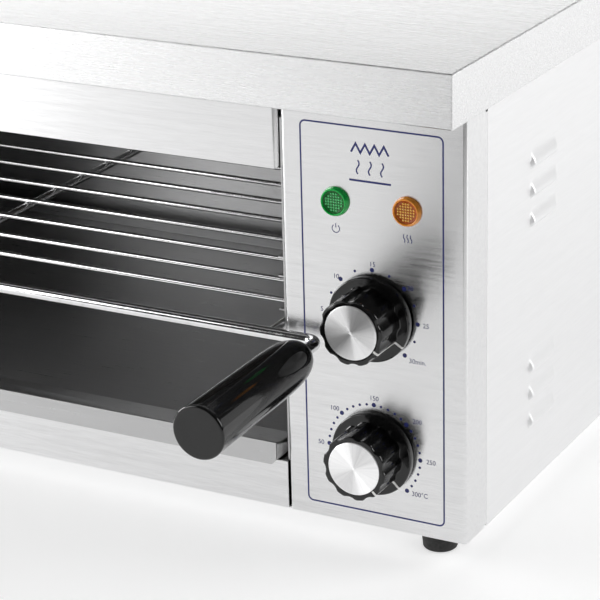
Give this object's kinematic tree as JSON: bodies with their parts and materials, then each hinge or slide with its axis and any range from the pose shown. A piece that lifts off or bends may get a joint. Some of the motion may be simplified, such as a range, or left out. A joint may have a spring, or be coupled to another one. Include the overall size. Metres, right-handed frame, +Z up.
{
  "type": "electric salamander grill",
  "caption": "Counter-top electric salamander grill with an open front, top heating elements, a sliding wire rack with handles, a crumb tray and a control box.",
  "frame": {"origin": "on the ground, below the middle of the whole grill's box", "axes": "+X to the right as seen from the front, +Y to the back, +Z up; the front faces -Y"},
  "size_m": [0.6433, 0.4798, 0.28],
  "materials": {
    "brushed_front": "fine horizontal brushing, bright",
    "side_steel": "satin brushed steel",
    "cavity_steel": "dull steel",
    "tray_steel": "dull brushed steel",
    "element_sheath": "heat-darkened steel sheath",
    "zinc": "zinc plated",
    "chrome_rod": "polished chrome plate",
    "black_gloss": "glossy black thermoset",
    "knob_black": "semi-gloss black thermoset",
    "spun_disc": "spun aluminium with radial glints",
    "pointer_white": "white filled line",
    "green_lens": "translucent ribbed lens",
    "amber_lens": "translucent ribbed lens",
    "lamp_housing": "black nylon",
    "rubber_black": "matt rubber",
    "control_housing": "plated steel can",
    "ceramic": "unglazed ceramic and thermoset",
    "copper_tube": "bare copper",
    "nylon_black": "moulded nylon"
  },
  "bodies": {
    "casing": {"base_pan": "side_steel", "front_rail": "brushed_front", "top_cover": "brushed_front", "hood_front": "brushed_front", "control_panel": "brushed_front", "right_side_cover": "side_steel", "left_side_panel": "side_steel", "rear_panel": "side_steel", "cavity_floor": "cavity_steel", "cavity_left_wall": "cavity_steel", "cavity_right_wall": "cavity_steel", "cavity_back_wall": "cavity_steel", "roof_plate": "cavity_steel", "rack_guide_left": "cavity_steel", "rack_guide_right": "cavity_steel", "element_front": "element_sheath", "element_middle": "element_sheath", "element_rear": "element_sheath", "element_bracket_left": "cavity_steel", "element_bracket_right": "cavity_steel", "element_nuts": "zinc", "timer_body": "control_housing", "thermostat_body": "ceramic", "thermostat_bulb": "copper_tube", "control_screws": "zinc", "terminal_block": "ceramic", "cable_gland": "nylon_black", "gland_nut": "nylon_black", "power_lamp_lens": "green_lens", "power_lamp_body": "lamp_housing", "heat_lamp_lens": "amber_lens", "heat_lamp_body": "lamp_housing", "foot_front_left": "rubber_black", "foot_front_right": "rubber_black", "foot_rear_left": "rubber_black", "foot_rear_right": "rubber_black", "foot_screws": "zinc", "casing_screws": "zinc"},
    "rack": {"rack_front_rod": "chrome_rod", "rack_side_rod_left": "chrome_rod", "rack_side_rod_right": "chrome_rod", "rack_rear_rod": "chrome_rod", "rack_centre_bar": "chrome_rod", "rack_wires": "chrome_rod", "handle_left": "black_gloss", "handle_right": "black_gloss"},
    "tray": {"crumb_tray": "tray_steel"},
    "timer_dial": {"timer_knob": "knob_black", "timer_knob_disc": "spun_disc", "timer_pointer": "pointer_white", "timer_shaft": "zinc"},
    "thermostat_dial": {"thermostat_knob": "knob_black", "thermostat_knob_disc": "spun_disc", "thermostat_pointer": "pointer_white", "thermostat_shaft": "zinc"}
  },
  "joints": [
    {"name": "rack_slide", "type": "slide", "parent": "casing", "child": "rack", "axis": [0, -1, 0], "range_m": [0, 0.2]},
    {"name": "tray_slide", "type": "slide", "parent": "casing", "child": "tray", "axis": [0, -1, 0], "range_m": [0, 0.25]},
    {"name": "timer_turn", "type": "hinge", "parent": "casing", "child": "timer_dial", "pos_m": [0.2634, -0.10411, 0.1376], "axis": [0, 1, 0], "range_deg": [-257, 13]},
    {"name": "thermostat_turn", "type": "hinge", "parent": "casing", "child": "thermostat_dial", "pos_m": [0.2634, -0.10411, 0.0602], "axis": [0, 1, 0], "range_deg": [-270, 0]}
  ]
}
